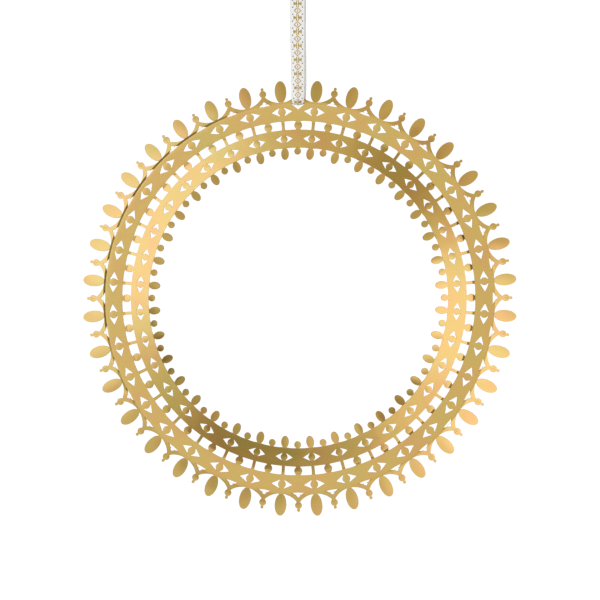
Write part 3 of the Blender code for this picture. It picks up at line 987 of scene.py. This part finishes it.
def fix_normals(mesh):
    """Turns every face outwards."""
    work = bmesh.new()
    work.from_mesh(mesh)
    bmesh.ops.recalc_face_normals(work, faces=work.faces[:])
    work.to_mesh(mesh)
    work.free()


STITCHES = 22
STITCH_RADIUS = 0.17 * MM
STITCH_SLANT = 0.16 * MM
STITCH_INSET = 0.25 * MM  # the first and last one, from the tack's ends
STITCH_END = 0.08 * MM  # from the tack's long sides
STITCH_DEPTH = 0.1 * MM  # how deep its ends go in


def stitch_tube(points, faces, a, b, back, face):
    """One stitch: a thread that rises from the ribbon, crosses the tack and goes in again."""
    radius = STITCH_RADIUS
    sides, steps = 6, 8
    first = len(points)
    for k in range(steps + 1):
        share = k / steps
        crown = math.sin(math.pi * share)
        centre = a.lerp(b, share)
        centre.y = back - STITCH_DEPTH + (face - back - radius + STITCH_DEPTH) * crown**0.6
        for j in range(sides):
            t = 2 * math.pi * j / sides
            points.append(centre + Vector((radius * math.cos(t), radius * math.sin(t) * 0.9, 0)))
    for k in range(steps):
        for j in range(sides):
            n = (j + 1) % sides
            faces.append([first + k * sides + j, first + k * sides + n,
                          first + (k + 1) * sides + n, first + (k + 1) * sides + j])
    faces.append([first + j for j in range(sides)][::-1])
    faces.append([first + steps * sides + j for j in range(sides)])


PRINT_MARGIN = 3 * MM  # plain ribbon at each lapped end
PRINT_LIFT = 0.025 * MM  # the foil's thickness on the satin
DOT_PLACE = 3.4 * MM  # a small dot, from the ribbon's middle
DOT = (0.46 * MM, 0.52 * MM)  # half its width and height
CROSS_BAR = (0.30 * MM, 1.0 * MM)  # an upright bar's inner and outer side
CROSS_TALL = 2.2 * MM  # half its height
CROSS_TIP = 2.85 * MM  # a flared arm's end, from the middle
CROSS_FLARE = (0.45 * MM, 1.4 * MM)  # half its height at the bar and at the tip
RHOMBUS = (2.75 * MM, 2.45 * MM)  # half its width and height
RHOMBUS_LINE = 0.56 * MM
RHOMBUS_BAR = (0.34 * MM, 1.05 * MM)  # the narrow bar inside, half width and height


class PrintSheet:
    """Flat shapes laid on the ribbon's outer face, given across and along it."""

    def __init__(self, loop, sizes):
        self.loop = loop
        self.half = sizes.ribbon / 2
        self.lift = sizes.ribbon_sheet / 2 + PRINT_LIFT
        self.points = []
        self.faces = []

    def put(self, x, d):
        """Adds a point and returns its number."""
        self.points.append(self.loop.surface(d, x / self.half, self.lift))
        return len(self.points) - 1

    def patch(self, corner_a, corner_b, corner_c, corner_d, steps=4):
        """A four-sided patch, split so that it follows the ribbon."""
        a, b, c, d = map(Vector, (corner_a, corner_b, corner_c, corner_d))
        grid = []
        for i in range(steps + 1):
            left, right = a.lerp(d, i / steps), b.lerp(c, i / steps)
            grid.append([self.put(*left.lerp(right, j / steps)) for j in range(steps + 1)])
        for i in range(steps):
            for j in range(steps):
                self.faces.append(
                    [grid[i][j], grid[i][j + 1], grid[i + 1][j + 1], grid[i + 1][j]])

    def ellipse(self, x, d, across, along, steps=12):
        """A filled ellipse."""
        middle = self.put(x, d)
        rim = [self.put(x + across * math.cos(2 * math.pi * k / steps),
                        d + along * math.sin(2 * math.pi * k / steps)) for k in range(steps)]
        self.faces += [[middle, rim[k], rim[(k + 1) % steps]] for k in range(steps)]

    def outline(self, x, d, across, along, width):
        """A rhombus drawn as a line of even width."""
        corners = [(across, 0.0), (0.0, along), (-across, 0.0), (0.0, -along)]
        inner = 1 - width * math.hypot(across, along) / (across * along)
        for k in range(4):
            (x0, d0), (x1, d1) = corners[k], corners[(k + 1) % 4]
            self.patch((x + x0, d + d0), (x + x1, d + d1),
                       (x + x1 * inner, d + d1 * inner), (x + x0 * inner, d + d0 * inner))

    def cross(self, d):
        """A cross: two upright bars and a flared arm to each side."""
        root, flare = CROSS_FLARE
        for side in (-1, 1):
            near, far = (x * side for x in CROSS_BAR)
            self.patch((near, d - CROSS_TALL), (far, d - CROSS_TALL),
                       (far, d + CROSS_TALL), (near, d + CROSS_TALL))
            tip = CROSS_TIP * side
            self.patch((far, d - root), (tip, d - flare), (tip, d + flare), (far, d + root))

    def rhombus(self, d):
        """A rhombus outline with a narrow bar along its middle."""
        self.outline(0.0, d, *RHOMBUS, RHOMBUS_LINE)
        self.ellipse(0.0, d, *RHOMBUS_BAR)


# ---------------------------------------------------------------- the stage

# The camera's distance, the width of its frame at the wreath, its turn to the right and its
# upward look in degrees, and how far right and up of the wreath's middle it aims.
CAMERA_AWAY = 2.6
CAMERA_FRAME = 0.41185
CAMERA_TURN = 5.1
CAMERA_RISE = 1.16
CAMERA_SHIFT = (1.35 * MM, -1.43 * MM)

FLOOR_RADIUS = 3.7
FLOOR_DROP = 0.37  # below the wreath
SOFT_BOX_SIZE = 1.2
SOFT_BOX_PLACE = Vector((-1.1, -1.3, 0.7))  # from the wreath's middle
SOFT_BOX_WATTS = 9.0

# Seen in the gold: the room's brightness, the least that a flag leaves, the clock angle of the
# room's warm side, and the lights and flags.
ROOM_BASE = 0.69
ROOM_LEAST = 0.03
WARM_CLOCK = 78
# Clock angle, angle off the view, full-strength and fade-out radius in degrees, strength.
# A negative strength is a dark flag. They are placed for a camera square to the wreath.
STUDIO_LIGHTS = (
    (94, 22, 6, 14, 0.48),
    (118, 38, 6, 14, 0.42),
    (92, 53, 7, 18, 0.50),
    (300, 21, 9, 19, 0.45),
    (266, 38, 7, 15, 0.22),
    (140, 34, 5, 13, 0.24),
    (172, 34, 4, 12, 0.03),
    (200, 37, 4, 12, 0.16),
    (252, 33, 3, 9, 0.10),
    (64, 33, 4, 12, -0.12),
    (10, 34, 4, 11, -0.08),
    (322, 31, 4, 10, -0.08),
    (38, 24, 3, 10, -0.36),
    (38, 52, 8, 22, -0.16),
    (66, 52, 5, 14, -0.12),
    (358, 40, 5, 18, -0.20),
    (340, 22, 4, 12, 0.06),
    (164, 22, 3, 10, -0.24),
    (200, 23, 3, 13, -0.42),
    (228, 23, 3, 12, -0.10),
    (137, 53, 5, 16, -0.36),
    (200, 53, 6, 20, -0.25),
    (234, 53, 6, 18, -0.27),
    (256, 53, 5, 15, -0.32),
    (274, 53, 4, 12, -0.14),
    (292, 53, 4, 12, -0.10),
    (320, 52, 8, 18, -0.20),
    (342, 52, 5, 14, -0.10),
    (243, 70, 8.5, 12.5, -0.68),
    (261, 70, 8.5, 12.5, -0.68),
    (279, 70, 8.5, 12.5, -0.66),
    (298, 70, 8, 13, -0.50),
    (270, 90, 9, 17, -0.38),
    (294, 90, 8, 17, -0.30),
    (322, 80, 10, 22, -0.46),
    (90, 2.8, 1, 3.4, -0.05),
    (295, 2.8, 1, 3.2, -0.07),
    (213, 3.5, 1, 3.2, 0.06),
)


def camera_turn():
    """The camera's rotation: level, turned to the right and looking slightly up."""
    angles = (math.radians(90 + CAMERA_RISE), 0.0, math.radians(CAMERA_TURN))
    return Euler(angles).to_matrix()


class WREATH_OT_stage(bpy.types.Operator):
    """Sets the floor, the studio's soft light and the camera."""

    bl_idname = "wreath.stage"
    bl_label = "Stage"

    def execute(self, context):
        _, colours = settings()
        low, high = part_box("wreath_plate")
        centre = (low + high) / 2
        self.floor(centre, low.z, colours)
        self.studio(context.scene, colours)
        self.soft_box(context.scene, centre)
        self.camera(context.scene, centre)
        return {"FINISHED"}

    def floor(self, centre, bottom, colours):
        """A wide round pale floor well below the wreath."""
        work = bmesh.new()
        bmesh.ops.create_circle(work, cap_ends=True, segments=128, radius=FLOOR_RADIUS)
        mesh = bpy.data.meshes.new("floor")
        work.to_mesh(mesh)
        work.free()
        mesh.materials.append(painted_floor(colours))
        floor = bpy.data.objects.new("floor", mesh)
        floor.location = (0.0, 0.0, bottom - FLOOR_DROP)
        floor.visible_glossy = False
        bpy.context.scene.collection.objects.link(floor)

    def mirrored(self, aim):
        """Where a light stands so that the facet which mirrors it to a camera square to the
        wreath mirrors it to the turned camera instead."""
        square = Vector((0.0, -1.0, 0.0))
        facet = (square + aim).normalized()
        turned = camera_turn() @ Vector((0.0, 0.0, 1.0))
        return 2 * facet.dot(turned) * facet - turned

    def glow(self, tree, way):
        """How bright the room is each way: its base, with every light and flag added."""
        total = None
        for clock, off, inner, outer, strength in STUDIO_LIGHTS:
            a, t = math.radians(clock), math.radians(off)
            aim = Vector((math.sin(t) * math.sin(a), -math.cos(t), math.sin(t) * math.cos(a)))
            near = add_node(tree, "ShaderNodeVectorMath",
                            {"operation": "DOT_PRODUCT", 1: self.mirrored(aim)}, in_0=way)
            soft = add_node(
                tree, "ShaderNodeMapRange",
                {"interpolation_type": "SMOOTHSTEP",
                 "From Min": math.cos(math.radians(outer)),
                 "From Max": math.cos(math.radians(inner)),
                 "To Min": 0.0, "To Max": strength}, Value=near.outputs["Value"])
            added = add_node(tree, "ShaderNodeMath", {"operation": "ADD", 1: ROOM_BASE},
                             in_0=soft.outputs["Result"])
            if total is not None:
                tree.links.new(total, added.inputs[1])
            total = added.outputs[0]
        return add_node(tree, "ShaderNodeMath", {"operation": "MAXIMUM", 1: ROOM_LEAST},
                        in_0=total).outputs[0]

    def studio(self, scene, colours):
        """Soft boxes and dark flags round the wreath, seen in the gold; white to the camera."""
        world = bpy.data.worlds.new("soft_studio")
        scene.world = world
        world.use_nodes = True
        tree = world.node_tree
        tree.nodes.clear()
        way = add_node(tree, "ShaderNodeTexCoord").outputs["Generated"]
        half = add_node(tree, "ShaderNodeMath", {"operation": "MULTIPLY", 1: 0.5},
                        in_0=self.glow(tree, way))
        # A dim room looks brown in the gold, and a bright one turns towards white.
        tint = add_node(tree, "ShaderNodeValToRGB", in_0=half.outputs[0])
        set_stops(tint, (0.0, (0.0, 0.0, 0.0)), (0.15, (0.31, 0.27, 0.17)),
                  (0.32, (0.65, 0.63, 0.56)), (0.55, (1.09, 1.075, 1.30)),
                  (1.0, (1.92, 1.94, 2.55)))
        warm_way = (math.sin(math.radians(WARM_CLOCK)), 0.0, math.cos(math.radians(WARM_CLOCK)))
        warm = add_node(tree, "ShaderNodeVectorMath", {"operation": "DOT_PRODUCT", 1: warm_way},
                        in_0=way)
        warmth = add_node(
            tree, "ShaderNodeMapRange",
            {"interpolation_type": "SMOOTHSTEP", "From Min": -0.07, "From Max": 0.07},
            Value=warm.outputs["Value"])
        room = add_node(tree, "ShaderNodeValToRGB", in_0=warmth.outputs["Result"])
        set_stops(room, (0.0, colours.cool_room), (1.0, colours.warm_room))
        toned = add_node(tree, "ShaderNodeVectorMath", {"operation": "MULTIPLY"},
                         in_0=tint.outputs["Color"], in_1=room.outputs["Color"])
        seen_in_gold = add_node(tree, "ShaderNodeBackground", {"Strength": 1.0},
                                Color=toned.outputs["Vector"])
        backdrop = add_node(tree, "ShaderNodeBackground",
                            {"Color": (1, 1, 1, 1), "Strength": 1.05})
        fill = add_node(tree, "ShaderNodeBackground",
                        {"Color": (0.97, 0.97, 1.0, 1), "Strength": 0.80})
        rays = add_node(tree, "ShaderNodeLightPath")
        lit = add_node(tree, "ShaderNodeMixShader", in_0=rays.outputs["Is Diffuse Ray"],
                       in_1=seen_in_gold.outputs[0], in_2=fill.outputs[0])
        mixed = add_node(tree, "ShaderNodeMixShader", in_0=rays.outputs["Is Camera Ray"],
                         in_1=lit.outputs[0], in_2=backdrop.outputs[0])
        add_node(tree, "ShaderNodeOutputWorld", Surface=mixed.outputs[0])
        scene.view_settings.view_transform = "Standard"
        scene.view_settings.look = "None"

    def soft_box(self, scene, centre):
        """A large soft box from the upper left, which shades the ribbon towards its right."""
        data = bpy.data.lights.new("soft_box", "AREA")
        data.shape = "SQUARE"
        data.size = SOFT_BOX_SIZE
        data.energy = SOFT_BOX_WATTS
        light = bpy.data.objects.new("soft_box", data)
        light.location = Vector((centre.x, 0.0, centre.z)) + SOFT_BOX_PLACE
        way = centre - light.location
        light.rotation_euler = way.to_track_quat("-Z", "Y").to_euler()
        light.visible_glossy = False
        light.visible_camera = False
        scene.collection.objects.link(light)

    def camera(self, scene, centre):
        """A long lens a little to the right of the wreath and just below its middle."""
        data = bpy.data.cameras.new("camera")
        data.sensor_width = 36.0
        data.lens = data.sensor_width * CAMERA_AWAY / CAMERA_FRAME
        data.clip_end = 20.0
        camera = bpy.data.objects.new("camera", data)
        camera.rotation_euler = camera_turn().to_euler()
        camera.location = centre + camera_turn() @ Vector((*CAMERA_SHIFT, CAMERA_AWAY))
        scene.collection.objects.link(camera)
        scene.camera = camera


# ---------------------------------------------------------------- the add-on


class WREATH_PT_panel(bpy.types.Panel):
    """Lists the wreath's operators and settings."""

    bl_idname = "WREATH_PT_panel"
    bl_label = "Hanging wreath"
    bl_space_type = "VIEW_3D"
    bl_region_type = "UI"
    bl_category = "Wreath"

    def draw(self, context):
        column = self.layout.column()
        for kind in (WREATH_OT_stage, WREATH_OT_plate, WREATH_OT_ribbon):
            column.operator(kind.bl_idname)
        for group in (context.scene.wreath_sizes, context.scene.wreath_colours):
            box = self.layout.box()
            for name in group.__annotations__:
                box.prop(group, name)


CLASSES = (WreathSizes, WreathColours, WREATH_OT_stage, WREATH_OT_plate, WREATH_OT_ribbon,
           WREATH_PT_panel)


def register():
    for kind in CLASSES:
        bpy.utils.register_class(kind)
    bpy.types.Scene.wreath_sizes = PointerProperty(type=WreathSizes)
    bpy.types.Scene.wreath_colours = PointerProperty(type=WreathColours)


def unregister():
    del bpy.types.Scene.wreath_colours
    del bpy.types.Scene.wreath_sizes
    for kind in reversed(CLASSES):
        bpy.utils.unregister_class(kind)


def main():
    """Builds the stage and every piece."""
    register()
    bpy.ops.wreath.stage()
    bpy.ops.wreath.plate()
    bpy.ops.wreath.ribbon()


if __name__ == "__main__":
    main()
